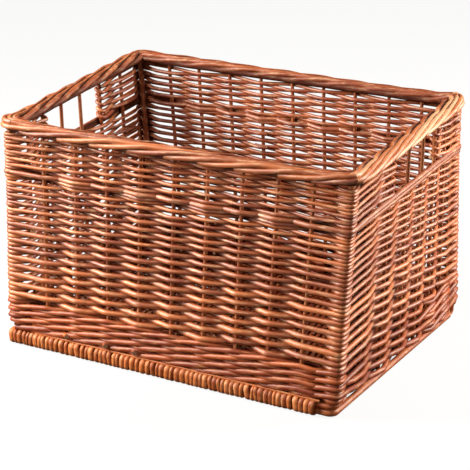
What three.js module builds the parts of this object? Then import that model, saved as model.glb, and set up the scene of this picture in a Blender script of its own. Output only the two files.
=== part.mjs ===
// Wicker display basket: a rectangular willow basket, open at the top, with a hand hole in each end.
//
// Straight stakes stand round a base of floor sticks, with a post in each corner. Rods are woven in and
// out of them in bands, one above another: a wale at the foot, the lower siding, one wale under the hand
// holes, the upper siding, which turns back at the holes, and a roped border along the rim.
//
// Millimetres, +Z up. The front wall faces -Y, and the origin is on the ground under the middle.

import * as THREE from "three";

// Plan, between the middles of the corner posts, at the ground and at the border.
const LENGTH_AT_FOOT = 474;
const LENGTH_AT_RIM = 482;
const WIDTH_AT_FOOT = 354;
const WIDTH_AT_RIM = 348;

// A hand-woven basket is seldom square: the foot of this one is turned a little under its rim.
const FOOT_TURN_DEGREES = -3;

// Stakes between the posts of a wall, and how many of an end wall's stand in its hand hole as bars.
const LONG_STAKE_COUNT = 9;
const END_STAKE_COUNT = 6;
const BAR_COUNT = 2;

// The stakes of an end wall stand nearer to its far corner, going round the basket. These are the greatest
// shifts from an even spacing, in the middle of each wall.
const RIGHT_STAKE_SHIFT = 36;
const LEFT_STAKE_SHIFT = 25;

// Heights of the bands that are filled with as many rows as they hold.
const LOWER_SIDING_HEIGHT = 167;
const HAND_HOLE_HEIGHT = 51;

// Uprights.
const STAKE_DIAMETER = 8;
const POST_DIAMETER = 10;

// Woven rods: thickness is measured through the wall, height up the wall.
const LOWER_ROD_THICKNESS = 6;
const LOWER_ROD_HEIGHT = 8.8;
const UPPER_ROD_THICKNESS = 5.6;
const UPPER_ROD_HEIGHT = 8;
const WALE_ROD_THICKNESS = 6.6;
const WALE_ROD_HEIGHT = 6.6;
const WALE_ROD_COUNT = 3;
const FOOT_ROUND_COUNT = 2;
const ROW_GAP = 0.4;

// Base: sticks along the basket, a weaver across them, and an edge stick bound with willow on each side.
// An edge stick is bent at one end and goes on under an end wall, bare and thinner.
const EDGE_STICK_DIAMETER = 12;
const EDGE_STICK_OVERHANG = 10;
const EDGE_STICK_PROUD = 5;
const EDGE_STICK_BEND = 9;
const END_STICK_DIAMETER = 8;
const END_STICK_PROUD = 3;
const BINDING_TURNS = 26;
const FLOOR_STICKS = 6;
const FLOOR_STICK_DIAMETER = 12;
const FLOOR_PASSES = 19;
const FLOOR_STRIP_WIDTH = 14;
const STRIP_THICKNESS = 4.5;
const STRIP_GAP = 1.2;
const END_WALL_LIFT = 2;

// Border: four strands laid on the rim as a flat rope. On top they all run from its outer edge to its inner
// edge, and underneath they run back.
const BORDER_STRANDS = 4;
const LONG_BORDER_TURNS = 2;
const END_BORDER_TURNS = 1.5;
const STRAND_WIDTH = 6.2;
const STRAND_HEIGHT = 8;
const BORDER_PROUD = 3;

const CLEARANCE = 0.3;

const UP = new THREE.Vector3(0, 0, 1);
const EAST = new THREE.Vector3(1, 0, 0);

// Levels that follow from the sizes above, from the ground up.
const stripReach = STRIP_THICKNESS / 2 + CLEARANCE;
const stickLevel = Math.max(EDGE_STICK_DIAMETER, FLOOR_STICK_DIAMETER) / 2 + 2 * stripReach - CLEARANCE;
const baseTop = 2 * stickLevel;
const endStickLevel = END_WALL_LIFT + END_STICK_DIAMETER / 2;
const endStickTop = END_WALL_LIFT + END_STICK_DIAMETER;
const walePitch = WALE_ROD_HEIGHT + ROW_GAP;
const footWaleTop = baseTop + WALE_ROD_COUNT * FOOT_ROUND_COUNT * walePitch;
const lowerTop = footWaleTop + LOWER_SIDING_HEIGHT;
const handHoleFloor = lowerTop + WALE_ROD_COUNT * walePitch;
const borderBottom = handHoleFloor + HAND_HOLE_HEIGHT;
const borderLevel = borderBottom + STRAND_HEIGHT + ROW_GAP / 2;
const uprightTop = borderBottom - CLEARANCE;

// The walls in order round the basket, seen from above.
const wall = (name, along, out, stakes, shift) => ({
  name,
  along: new THREE.Vector3(...along),
  out: new THREE.Vector3(...out),
  gaps: stakes + 1,
  shift,
});
const WALLS = [
  wall("front", [1, 0, 0], [0, -1, 0], LONG_STAKE_COUNT, 0),
  wall("right", [0, 1, 0], [1, 0, 0], END_STAKE_COUNT, RIGHT_STAKE_SHIFT),
  wall("back", [-1, 0, 0], [0, 1, 0], LONG_STAKE_COUNT, 0),
  wall("left", [0, -1, 0], [-1, 0, 0], END_STAKE_COUNT, LEFT_STAKE_SHIFT),
];

// Every upright in order, from the front left corner: a wall's corner post has step 0, then come its stakes.
const uprights = WALLS.flatMap((wall, number) =>
  Array.from({ length: wall.gaps }, (_, step) => ({ wall, step, before: WALLS[(number + 3) % 4] })),
);
const ROUND = uprights.length;

const lean = (foot, rim, z) => THREE.MathUtils.lerp(foot, rim, z / borderLevel);
const isEnd = (wall) => wall.out.x !== 0;
const shiftAt = ({ shift, gaps }, step) => shift * Math.sin((Math.PI * step) / gaps);

// The middle of an upright at a height.
function standing({ wall, step }, z) {
  const length = lean(LENGTH_AT_FOOT, LENGTH_AT_RIM, z);
  const width = lean(WIDTH_AT_FOOT, WIDTH_AT_RIM, z);
  const [run, depth] = isEnd(wall) ? [width, length] : [length, width];
  return new THREE.Vector3(0, 0, z)
    .addScaledVector(wall.along, run * (step / wall.gaps - 0.5) + shiftAt(wall, step))
    .addScaledVector(wall.out, depth / 2);
}

// Directions a quarter and three quarters of the way round a corner, from one wall's outside to the next's.
function cornerDirections({ before, wall }) {
  return [Math.PI / 8, (3 * Math.PI) / 8].map((turn) =>
    new THREE.Vector3().addScaledVector(before.out, Math.cos(turn)).addScaledVector(wall.out, Math.sin(turn)),
  );
}

// Where a point goes as the foot is turned.
function turned(point) {
  const share = Math.max(0, 1 - point.z / borderLevel);
  return point.applyAxisAngle(UP, share * THREE.MathUtils.degToRad(FOOT_TURN_DEGREES));
}

// A closed solid lofted through rings. A ring has its middle and two directions: across points to the
// right of the rod's travel, and rise to its upper side. A section is a list of steps in those directions.
function loft(rings, section) {
  const corners = section.length;
  const positions = [];
  for (const { at, across, rise } of rings) {
    for (const [sideways, upwards] of section) {
      const point = turned(at.clone().addScaledVector(across, sideways).addScaledVector(rise, upwards));
      positions.push(point.x, point.y, point.z);
    }
  }
  const faces = [];
  for (let ring = 0; ring < rings.length - 1; ring++) {
    for (let corner = 0; corner < corners; corner++) {
      const here = ring * corners + corner;
      const next = ring * corners + ((corner + 1) % corners);
      faces.push(here, next, next + corners);
      faces.push(here, next + corners, here + corners);
    }
  }
  const last = (rings.length - 1) * corners;
  for (let corner = 1; corner < corners - 1; corner++) {
    faces.push(0, corner + 1, corner);
    faces.push(last, last + corner, last + corner + 1);
  }
  const geometry = new THREE.BufferGeometry();
  geometry.setAttribute("position", new THREE.Float32BufferAttribute(positions, 3));
  geometry.setIndex(faces);
  geometry.computeVertexNormals();
  return geometry;
}

// Sections. A polygon has a corner on the rise axis, where the woven rods lie against it.
function polygon(diameter, sides) {
  return Array.from({ length: sides }, (_, corner) => {
    const angle = (corner / sides) * 2 * Math.PI;
    return [(diameter / 2) * Math.sin(angle), (diameter / 2) * Math.cos(angle)];
  });
}

function diamond(thickness, height) {
  return [[0, height / 2], [thickness / 2, 0], [0, -height / 2], [-thickness / 2, 0]];
}

function flat(width, thickness) {
  return [
    [-width / 2, thickness / 2],
    [width / 2, thickness / 2],
    [width / 2, -thickness / 2],
    [-width / 2, -thickness / 2],
  ];
}

// How far a rod's middle lies from a corner post's: far enough to clear the post on its way to the inner
// face of the next stake. The run to that stake turns a little as the rod moves out, so it is found by steps.
function cornerReach(thickness) {
  const clear = POST_DIAMETER / 2 + CLEARANCE + thickness / 2;
  const inside = STAKE_DIAMETER / 2 + CLEARANCE + thickness / 2;
  const gap = Math.min(
    ...WALLS.map((wall) => (isEnd(wall) ? WIDTH_AT_FOOT : LENGTH_AT_FOOT) / wall.gaps - Math.abs(shiftAt(wall, 1))),
  );
  const [sine, cosine] = [Math.sin(Math.PI / 8), Math.cos(Math.PI / 8)];
  let reach = clear;
  for (let step = 0; step < 12; step++) {
    const run = Math.hypot(gap + sine * reach, inside + cosine * reach);
    reach = (clear * run) / (cosine * gap - sine * inside);
  }
  return reach;
}

// Rings of a rod at one upright, on the stake's outer face (side 1) or inner face (side -1).
// Rods always go round the outside of a corner post.
function passing(upright, side, z, thickness) {
  if (upright.step > 0) {
    const reach = STAKE_DIAMETER / 2 + CLEARANCE + thickness / 2;
    const across = upright.wall.out;
    return [{ at: standing(upright, z).addScaledVector(across, side * reach), across, rise: UP }];
  }
  const reach = cornerReach(thickness);
  return cornerDirections(upright).map((across) => ({
    at: standing(upright, z).addScaledVector(across, reach),
    across,
    rise: UP,
  }));
}

// A rod that goes round the basket for some rounds. It is level along each round and climbs to the next on
// the last gap of the left wall. sideOf and levelOf give its side and height at a round and an upright.
function roundRod(rounds, thickness, sideOf, levelOf) {
  const rings = [];
  for (let step = 0; step < rounds * ROUND; step++) {
    const round = Math.floor(step / ROUND);
    const number = step % ROUND;
    const upright = uprights[number];
    rings.push(...passing(upright, sideOf(round, number), levelOf(round, upright), thickness));
  }
  rings.shift();
  if (rounds === 1) {
    rings.push(passing(uprights[0], 1, levelOf(0, uprights[0]), thickness)[0]);
  }
  return rings;
}

// In siding a rod passes the stakes of a wall by turns inside and outside, and neighbouring rows differ.
const sidingSide = (row, upright) => ((row + upright.step) % 2 === 0 ? 1 : -1);

// In a wale each rod passes in front of two uprights and behind the third, one upright after the rod below.
const waleSide = (rod, number) => ((number + rod) % 3 === 0 ? -1 : 1);

const group = new THREE.Group();

const willow = {
  stake: { color: 0x8a4a2a, roughness: 0.55 },
  lower: { color: 0xb06a40, roughness: 0.5 },
  upper: { color: 0xa9653f, roughness: 0.5 },
  wale: { color: 0xba6e40, roughness: 0.48 },
  border: { color: 0xd08d5c, roughness: 0.45 },
  base: { color: 0x9c5a36, roughness: 0.55 },
};

function add(name, rings, section, look) {
  const material = new THREE.MeshStandardMaterial({ ...look, metalness: 0 });
  const mesh = new THREE.Mesh(loft(rings, section), material);
  mesh.name = name;
  group.add(mesh);
}

// Posts and stakes. The end stakes stand on the bare run of an edge stick, the others on its binding, and all
// of them end under the border.
const edgeDepth = WIDTH_AT_FOOT / 2 + EDGE_STICK_PROUD;
const edgeTop = stickLevel + EDGE_STICK_DIAMETER / 2;

uprights.forEach((upright) => {
  const { wall, step, before } = upright;
  const isPost = step === 0;
  let foot = baseTop + CLEARANCE;
  if (isPost) {
    foot = edgeTop + CLEARANCE;
  } else if (isEnd(wall)) {
    foot = endStickTop + CLEARANCE;
  }
  const rings = [foot, uprightTop].map((z) => ({
    at: standing(upright, z),
    across: wall.along,
    rise: wall.out,
  }));
  const name = isPost ? `post_${before.name}_${wall.name}` : `stake_${wall.name}_${step}`;
  const section = isPost ? polygon(POST_DIAMETER, 8) : polygon(STAKE_DIAMETER, 6);
  add(name, rings, section, willow.stake);
});

// Foot wale: on the end walls, which have no bound edge below them, its rows spread down to the bare stick.
const footRows = WALE_ROD_COUNT * FOOT_ROUND_COUNT;
const footRowLevel = (row) => baseTop + (row + 0.5) * walePitch;

function footLevel(row, upright) {
  const level = footRowLevel(row);
  if (!isEnd(upright.wall) || upright.step === 0) {
    return level;
  }
  const lowest = endStickTop + ROW_GAP + WALE_ROD_HEIGHT / 2;
  return THREE.MathUtils.lerp(lowest, footRowLevel(footRows - 1), row / (footRows - 1));
}

for (let rod = 0; rod < WALE_ROD_COUNT; rod++) {
  const rings = roundRod(
    FOOT_ROUND_COUNT,
    WALE_ROD_THICKNESS,
    (round, number) => waleSide(rod + round, number),
    (round, upright) => footLevel(rod + round * WALE_ROD_COUNT, upright),
  );
  add(`foot_wale_${rod + 1}`, rings, diamond(WALE_ROD_THICKNESS, WALE_ROD_HEIGHT), willow.wale);
}

// Lower siding: two weavers, one above the other.
const lowerRows = Math.floor(LOWER_SIDING_HEIGHT / (LOWER_ROD_HEIGHT + ROW_GAP));
const lowerPitch = LOWER_SIDING_HEIGHT / lowerRows;
const lowerHalf = Math.ceil(lowerRows / 2);

[[0, lowerHalf], [lowerHalf, lowerRows]].forEach(([first, end], weaver) => {
  const rings = roundRod(
    end - first,
    LOWER_ROD_THICKNESS,
    (round, number) => sidingSide(first + round, uprights[number]),
    (round) => footWaleTop + (first + round + 0.5) * lowerPitch,
  );
  add(`lower_siding_${weaver + 1}`, rings, diamond(LOWER_ROD_THICKNESS, LOWER_ROD_HEIGHT), willow.lower);
});

// Wale under the hand holes.
for (let rod = 0; rod < WALE_ROD_COUNT; rod++) {
  const level = lowerTop + (rod + 0.5) * walePitch;
  const rings = roundRod(1, WALE_ROD_THICKNESS, (_, number) => waleSide(rod, number), () => level);
  add(`hole_wale_${rod + 1}`, rings, diamond(WALE_ROD_THICKNESS, WALE_ROD_HEIGHT), willow.wale);
}

// Upper siding: one weaver round the front and one round the back, each turning back round the stakes that
// edge the hand holes.
const upperRows = Math.floor(HAND_HOLE_HEIGHT / (UPPER_ROD_HEIGHT + ROW_GAP));
const upperPitch = HAND_HOLE_HEIGHT / upperRows;
const holeEdge = (END_STAKE_COUNT - BAR_COUNT) / 2;

// The rod's rings round the far side of an edge stake, from one face to the other.
function turnBack(upright, side, heading, z) {
  const reach = STAKE_DIAMETER / 2 + CLEARANCE + UPPER_ROD_THICKNESS / 2;
  const ahead = upright.wall.along.clone().multiplyScalar(heading);
  const right = upright.wall.out.clone().multiplyScalar(heading);
  return [side, -side].map((face) => {
    const outwards = upright.wall.out.clone().multiplyScalar(face);
    const at = standing(upright, z).addScaledVector(outwards, reach).addScaledVector(ahead, reach);
    const across = ahead.clone().multiplyScalar(side * heading).addScaledVector(right, face * side).normalize();
    return { at, across, rise: UP };
  });
}

function upperWeaver(first, count) {
  const span = Array.from({ length: count }, (_, n) => uprights[(first + n) % ROUND]);
  const rings = [];
  for (let row = 0; row < upperRows; row++) {
    const heading = row % 2 === 0 ? 1 : -1;
    const level = handHoleFloor + (row + 0.5) * upperPitch;
    const order = heading > 0 ? span : [...span].reverse();
    for (const upright of order) {
      const past = passing(upright, sidingSide(row, upright), level, UPPER_ROD_THICKNESS);
      const turned = past.map(({ at, across, rise }) => ({ at, across: across.clone().multiplyScalar(heading), rise }));
      rings.push(...(heading > 0 ? turned : turned.reverse()));
    }
    if (row < upperRows - 1) {
      const edge = order[order.length - 1];
      rings.push(...turnBack(edge, sidingSide(row, edge), heading, level + upperPitch / 2));
    }
  }
  return rings;
}

const upperSpan = LONG_STAKE_COUNT + 2 + 2 * holeEdge;
const upperSection = diamond(UPPER_ROD_THICKNESS, UPPER_ROD_HEIGHT);
add("upper_siding_front", upperWeaver(ROUND - holeEdge, upperSpan), upperSection, willow.upper);
add("upper_siding_back", upperWeaver(ROUND / 2 - holeEdge, upperSpan), upperSection, willow.upper);

// Border: the eight stops of a strand on one turn of the rope, as its place across the rope and its layer.
const borderReach = 1.5 * (STRAND_WIDTH + ROW_GAP);
const layerRise = (STRAND_HEIGHT + ROW_GAP) / 2;
const acrossTop = [1, 1 / 3, -1 / 3, -1];
const stops = [...acrossTop.map((side) => [side, 1]), ...acrossTop.map((side) => [-side, -1])];

// The rope's middle line at every step: a corner is mitred, and the rope is cut at the first corner.
const borderSteps = WALLS.flatMap((wall, number) => {
  const steps = stops.length * (isEnd(wall) ? END_BORDER_TURNS : LONG_BORDER_TURNS);
  return Array.from({ length: steps }, (_, step) => ({
    wall: { ...wall, gaps: steps, shift: 0 },
    step,
    before: WALLS[(number + 3) % 4],
  }));
});

function borderPlace(number) {
  const place = borderSteps[number % borderSteps.length];
  const across = place.wall.out.clone();
  const at = standing(place, borderLevel);
  if (place.step === 0) {
    across.add(place.before.out);
  }
  if (number === 0) {
    at.addScaledVector(place.wall.along, CLEARANCE);
  } else if (number === borderSteps.length) {
    at.addScaledVector(place.before.along, -CLEARANCE);
  }
  const fromCorner = Math.min(place.step, place.wall.gaps - place.step);
  return { at: at.addScaledVector(across, BORDER_PROUD), across, fromCorner };
}

for (let strand = 0; strand < BORDER_STRANDS; strand++) {
  const rings = [];
  for (let number = 0; number <= borderSteps.length; number++) {
    const { at, across, fromCorner } = borderPlace(number);
    const [side, layer] = stops[(number + 2 * strand) % stops.length];
    const isEdge = Math.abs(side) === 1;
    if (isEdge || fromCorner <= 1) {
      at.addScaledVector(across, borderReach * side).addScaledVector(UP, layerRise * layer);
      rings.push({ at, across, rise: UP });
    }
  }
  add(`border_strand_${strand + 1}`, rings, flat(STRAND_WIDTH, STRAND_HEIGHT), willow.border);
}

// Rings of a flat strip that bends in the plane of Y and Z, mitred at each bend.
function strip(points) {
  const sideOf = (from, to) => {
    const travel = to.clone().sub(from).setX(0).normalize();
    return new THREE.Vector3(0, -travel.z, travel.y);
  };
  return points.map((at, number) => {
    const before = number > 0 ? sideOf(points[number - 1], at) : sideOf(at, points[1]);
    const after = number < points.length - 1 ? sideOf(at, points[number + 1]) : before;
    const rise = before.clone().add(after).divideScalar(1 + before.dot(after));
    return { at, across: EAST, rise };
  });
}

// Edge sticks along the front and back, each bent round a corner to go on under an end wall, and their bindings.
const edgeHalf = LENGTH_AT_FOOT / 2 + EDGE_STICK_OVERHANG;
const wallInside = STAKE_DIAMETER / 2 + CLEARANCE + WALE_ROD_THICKNESS;
const floorHalf = LENGTH_AT_FOOT / 2 - wallInside - 2 * CLEARANCE;
const bindingPitch = (2 * floorHalf) / BINDING_TURNS;
const bindingReach = EDGE_STICK_DIAMETER / 2 + stripReach;

// A ring of an edge stick, some way from its full size and level (0) to those of the run under an end wall (1).
function stickRing(at, across, change) {
  const size = THREE.MathUtils.lerp(1, END_STICK_DIAMETER / EDGE_STICK_DIAMETER, change);
  return {
    at: at.clone().setZ(THREE.MathUtils.lerp(stickLevel, endStickLevel, change)),
    across: across.clone().multiplyScalar(size),
    rise: UP.clone().multiplyScalar(size),
  };
}

for (const [wall, endWall] of [[WALLS[0], WALLS[1]], [WALLS[2], WALLS[3]]]) {
  const { name, out, along } = wall;
  const depth = out.y * edgeDepth;
  const endDepth = LENGTH_AT_FOOT / 2 + END_STICK_PROUD;
  const onEdge = (run) => new THREE.Vector3().addScaledVector(along, run).addScaledVector(out, edgeDepth);
  const underEnd = (run) => new THREE.Vector3().addScaledVector(endWall.along, run).addScaledVector(along, endDepth);
  const pivot = onEdge(endDepth - EDGE_STICK_BEND).addScaledVector(out, -EDGE_STICK_BEND);
  const [early, late] = cornerDirections({ before: wall, wall: endWall });
  const firstStake = WIDTH_AT_FOOT * (1 / endWall.gaps - 0.5);
  const stop = edgeDepth - EDGE_STICK_DIAMETER / 2 - CLEARANCE;
  const rings = [
    stickRing(onEdge(-edgeHalf), out, 0),
    stickRing(onEdge(endDepth - EDGE_STICK_BEND), out, 0),
    stickRing(pivot.clone().addScaledVector(early, EDGE_STICK_BEND), early, 0.25),
    stickRing(pivot.clone().addScaledVector(late, EDGE_STICK_BEND), late, 0.5),
    stickRing(underEnd(firstStake), endWall.out, 1),
    stickRing(underEnd(stop), endWall.out, 1),
  ];
  add(`edge_stick_${name}`, rings, polygon(EDGE_STICK_DIAMETER, 8), willow.base);

  const corners = [[-1, 1], [1, 1], [1, -1], [-1, -1]];
  const points = [];
  for (let quarter = 0; quarter < 4 * BINDING_TURNS; quarter++) {
    const [outwards, upwards] = corners[quarter % 4];
    const x = -floorHalf + bindingPitch * (0.5 + (quarter - 1.5) / 4);
    const y = depth + out.y * outwards * bindingReach;
    points.push(new THREE.Vector3(x, y, stickLevel + upwards * bindingReach));
  }
  add(`edge_binding_${name}`, strip(points), flat(bindingPitch - STRIP_GAP, STRIP_THICKNESS), willow.base);
}

// Floor: sticks side by side between the bound edges, and one strip woven across them, back and forth.
const stripHeight = FLOOR_STICK_DIAMETER / 2 + stripReach;
const floorDepth = edgeDepth - bindingReach - STRIP_THICKNESS - CLEARANCE - stripHeight;
const SOUTH = new THREE.Vector3(0, -1, 0);
const floorStickDepths = Array.from({ length: FLOOR_STICKS }, (_, stick) =>
  THREE.MathUtils.lerp(-floorDepth, floorDepth, stick / (FLOOR_STICKS - 1)),
);

floorStickDepths.forEach((depth, stick) => {
  const ends = [-floorHalf, floorHalf].map((x) => ({
    at: new THREE.Vector3(x, depth, stickLevel),
    across: SOUTH,
    rise: UP,
  }));
  add(`floor_stick_${stick + 1}`, ends, polygon(FLOOR_STICK_DIAMETER, 6), willow.base);
});

const passPitch = (2 * floorHalf) / FLOOR_PASSES;
const floorPoints = [];
for (let pass = 0; pass < FLOOR_PASSES; pass++) {
  const x = -floorHalf + passPitch * (pass + 0.5);
  const heading = pass % 2 === 0 ? 1 : -1;
  const order = heading > 0 ? floorStickDepths : [...floorStickDepths].reverse();
  order.forEach((depth, stick) => {
    const over = stick % 2 === 0 ? -1 : 1;
    floorPoints.push(new THREE.Vector3(x, depth, stickLevel + over * stripHeight));
  });
  if (pass < FLOOR_PASSES - 1) {
    const y = heading * (floorDepth + stripHeight);
    floorPoints.push(new THREE.Vector3(x + passPitch / 4, y, stickLevel + stripHeight));
    floorPoints.push(new THREE.Vector3(x + (3 * passPitch) / 4, y, stickLevel - stripHeight));
  }
}
add("floor_weaver", strip(floorPoints), flat(FLOOR_STRIP_WIDTH, STRIP_THICKNESS), willow.base);

export default group;
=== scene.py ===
# %% [markdown]
# # A woven willow basket
# A rectangular basket of peeled, steamed willow: corner posts and stakes with rods woven round them in
# bands, a bound edge at the foot and a roped border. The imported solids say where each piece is. Every
# piece is made again here with round, tapering rods and as many rows as the real basket has, because a
# weaver's surface is nothing but its rods.

import math
from collections import namedtuple

import bpy
import numpy as np
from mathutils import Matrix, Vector


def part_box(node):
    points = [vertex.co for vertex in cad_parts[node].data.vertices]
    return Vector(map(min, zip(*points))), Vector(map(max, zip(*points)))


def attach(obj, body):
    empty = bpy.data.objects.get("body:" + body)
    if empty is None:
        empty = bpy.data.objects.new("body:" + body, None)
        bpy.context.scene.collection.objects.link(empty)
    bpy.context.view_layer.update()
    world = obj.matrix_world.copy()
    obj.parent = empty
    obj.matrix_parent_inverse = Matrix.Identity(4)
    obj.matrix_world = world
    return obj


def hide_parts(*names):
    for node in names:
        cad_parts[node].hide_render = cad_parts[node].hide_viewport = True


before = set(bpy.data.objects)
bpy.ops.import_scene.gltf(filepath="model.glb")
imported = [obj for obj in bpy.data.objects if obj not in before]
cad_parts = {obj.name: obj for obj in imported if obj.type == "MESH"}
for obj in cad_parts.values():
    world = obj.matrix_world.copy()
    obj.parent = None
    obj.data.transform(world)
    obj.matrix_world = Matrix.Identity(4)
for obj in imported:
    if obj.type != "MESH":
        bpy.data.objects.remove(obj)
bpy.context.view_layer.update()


# %% [markdown]
# ## Camera
# The basket was photographed from above its front right corner with a long lens, so its edges are almost
# parallel. The angles, distance and lens were fitted to the corners of the rim and the foot. The frame is
# square, and a small shift puts the middle of the basket where it is in the picture.

# %% Camera
AIM = Vector((0, 0, 0.15))
AZIMUTH, ELEVATION, DISTANCE = math.radians(26.3), math.radians(21.2), 2.8
PICTURE = 470  # pixels across the picture
SCALE = 742  # pixels to a metre at the aim
SHIFT_X, SHIFT_Y = -1.5, -8.1  # pixels
SENSOR = 36  # millimetres


def around(azimuth, elevation, distance):
    """The point at that bearing from the aim: 0 is straight in front, and positive is to the right."""
    flat = math.cos(elevation)
    way = Vector((math.sin(azimuth) * flat, -math.cos(azimuth) * flat, math.sin(elevation)))
    return AIM + distance * way


def set_up(thing, place):
    """Puts a camera or a lamp at a place and turns it to the aim."""
    thing.location = place
    thing.rotation_euler = (AIM - thing.location).to_track_quat("-Z", "Y").to_euler()
    bpy.context.scene.collection.objects.link(thing)


camera = bpy.data.objects.new("camera", bpy.data.cameras.new("camera"))
set_up(camera, around(AZIMUTH, ELEVATION, DISTANCE))
camera.data.lens = SENSOR * SCALE * DISTANCE / PICTURE
camera.data.shift_x = SHIFT_X / PICTURE
camera.data.shift_y = SHIFT_Y / PICTURE
bpy.context.scene.camera = camera
print("camera at", [round(x, 2) for x in camera.location], "lens", round(camera.data.lens, 1), "mm")

# %% [markdown]
# ## Sums of sockets
# A finish is a small calculation for each point of a surface. Nodes can be placed by hand, but a long
# chain of them is hard to read. Here a socket is wrapped so that Python's own signs add the Math nodes,
# and one method adds any other node: its settings first, then the values and links of its sockets.

# %% Nodes as Python sums
class Nodes:
    """The node tree of one finish."""

    def __init__(self, tree):
        self.tree = tree
        tree.nodes.clear()

    def node(self, kind, settings={}, sockets={}, output=0):
        made = self.tree.nodes.new("ShaderNode" + kind)
        for name, value in settings.items():
            setattr(made, name, value)
        for name, value in sockets.items():
            if isinstance(value, Value):
                self.tree.links.new(value.socket, made.inputs[name])
            else:
                made.inputs[name].default_value = value
        return Value(self, made.outputs[output]) if made.outputs else None


class Value:
    """A socket that takes part in Python sums."""

    def __init__(self, nodes, socket):
        self.nodes = nodes
        self.socket = socket

    def sum(self, operation, first, second):
        return self.nodes.node("Math", {"operation": operation}, {0: first, 1: second})

    def __add__(self, other):
        return self.sum("ADD", self, other)

    def __radd__(self, other):
        return self.sum("ADD", other, self)

    def __sub__(self, other):
        return self.sum("SUBTRACT", self, other)

    def __rsub__(self, other):
        return self.sum("SUBTRACT", other, self)

    def __mul__(self, other):
        return self.sum("MULTIPLY", self, other)

    def __rmul__(self, other):
        return self.sum("MULTIPLY", other, self)


def tint(*colour):
    """A colour as a screen shows it, 0 to 255, as the linear values that a shader takes."""
    shown = [x / 255 for x in colour]
    linear = [x / 12.92 if x < 0.04045 else ((x + 0.055) / 1.055) ** 2.4 for x in shown]
    return (*linear, 1)


print("one brown as linear values:", [round(x, 3) for x in tint(170, 100, 65)])

# %% [markdown]
# ## Floor
# The picture has a white ground, with only a soft shadow at the foot of the basket. A large pale floor
# takes that shadow. A floor that is lit until it is white would throw too much light up into the weave,
# so the camera sees one floor, which mostly shines by itself, and the willow sees another, a dull one.

# %% Floor
FLOOR_HALF = 9  # metres
OWN_LIGHT = 0.9  # share of the floor's white that is its own

floor_mesh = bpy.data.meshes.new("floor")
floor_corners = [(x * FLOOR_HALF, y * FLOOR_HALF, 0) for x, y in ((-1, -1), (1, -1), (1, 1), (-1, 1))]
floor_mesh.from_pydata(floor_corners, [], [(0, 1, 2, 3)])
floor = bpy.data.objects.new("floor", floor_mesh)
bpy.context.scene.collection.objects.link(floor)

floor_paint = bpy.data.materials.new("white_floor")
floor_paint.use_nodes = True
paint = Nodes(floor_paint.node_tree)
dull = paint.node("BsdfDiffuse", {}, {"Color": tint(72, 66, 60)})
matt = paint.node("BsdfDiffuse", {}, {"Color": tint(240, 238, 235)})
bright = paint.node("Emission", {}, {"Color": (1, 1, 1, 1), "Strength": 1.0})
white_floor = paint.node("MixShader", {}, {0: OWN_LIGHT, 1: matt, 2: bright})
by_camera = paint.node("LightPath")
either = paint.node("MixShader", {}, {0: by_camera, 1: dull, 2: white_floor})
paint.node("OutputMaterial", {}, {"Surface": either})
floor_mesh.materials.append(floor_paint)
print("floor:", 2 * FLOOR_HALF, "m square")

# %% [markdown]
# ## Light
# The light of the picture comes from both sides: the front is lit along its length from the left, so that
# every rod has a bright back and a dark gap below it, and the end wall is lit from the right and a little
# behind. Two broad lamps do that. Weak ones near the camera and overhead fill what they leave dark. The
# level is such that a colour comes out about as it is written.

# %% Lamps and sky
LAMP_COLOUR = (1, 0.96, 0.86)
SKY_FILL = 0.04

world = bpy.data.worlds.new("studio")
bpy.context.scene.world = world
world.use_nodes = True
sky = Nodes(world.node_tree)
by_camera = sky.node("LightPath")
fill = sky.node("Background", {}, {"Color": (1, 0.985, 0.96, 1), "Strength": SKY_FILL})
white = sky.node("Background", {}, {"Color": (1, 1, 1, 1), "Strength": 1.0})
either = sky.node("MixShader", {}, {0: by_camera, 1: fill, 2: white})
sky.node("OutputWorld", {}, {"Surface": either})


def lamp(name, azimuth, elevation, distance, width, height, power):
    """A flat lamp that looks at the basket: angles in degrees, lengths in metres, power in watts."""
    light = bpy.data.lights.new(name, "AREA")
    light.shape = "RECTANGLE"
    light.size = width
    light.size_y = height
    light.energy = power
    light.color = LAMP_COLOUR
    place = around(math.radians(azimuth), math.radians(elevation), distance)
    set_up(bpy.data.objects.new(name, light), place)


lamp("right_lamp", 124, 26, 1.8, 0.8, 1.6, 58)
lamp("left_lamp", -60, 30, 1.5, 0.6, 1.5, 54)
lamp("front_lamp", 20, 20, 2.2, 1.6, 1.6, 7)
lamp("top_lamp", 26, 78, 2.0, 0.9, 0.9, 3)
bpy.context.scene.view_settings.view_transform = "Standard"

# %% [markdown]
# ## Willow
# Steamed willow is reddish brown under a thin smooth skin. No two rods have the same tone, a rod has long
# streaks and paler patches, a small dark scar where each leaf stood, and its cut ends show pale wood.
# Light hardly gets in where a rod lies against the stakes, so that side of it gets painted shade. Each rod
# carries its tone, which also holds painted shade for rods inside a wall and painted light for the lit
# sides of the border; how much painted shade each point has; and a grain place: how far along the rod a
# point is, and where round it. Noise that is stretched along the grain place follows every bend of the rod,
# which a texture in space can't. A coat gives the polish, and the places with painted shade have none.

# %% Willow finish
# The brown of leaf scars, the dark brown of painted shade, and the pale wood of cut ends.
SCAR_BROWN, PAINTED_SHADE_BROWN, CUT_WOOD = tint(64, 24, 12), tint(44, 6, 1), tint(206, 160, 124)


def blend(nodes, amount, first, second):
    """A colour between two."""
    settings = {"data_type": "RGBA", "clamp_factor": True}
    return nodes.node("Mix", settings, {0: amount, 6: first, 7: second}, 2)


def between(nodes, value, low, high):
    """0 below low, 1 above high, and a smooth step between them."""
    settings = {"interpolation_type": "SMOOTHSTEP"}
    return nodes.node("MapRange", settings, {"Value": value, "From Min": low, "From Max": high})


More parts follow.
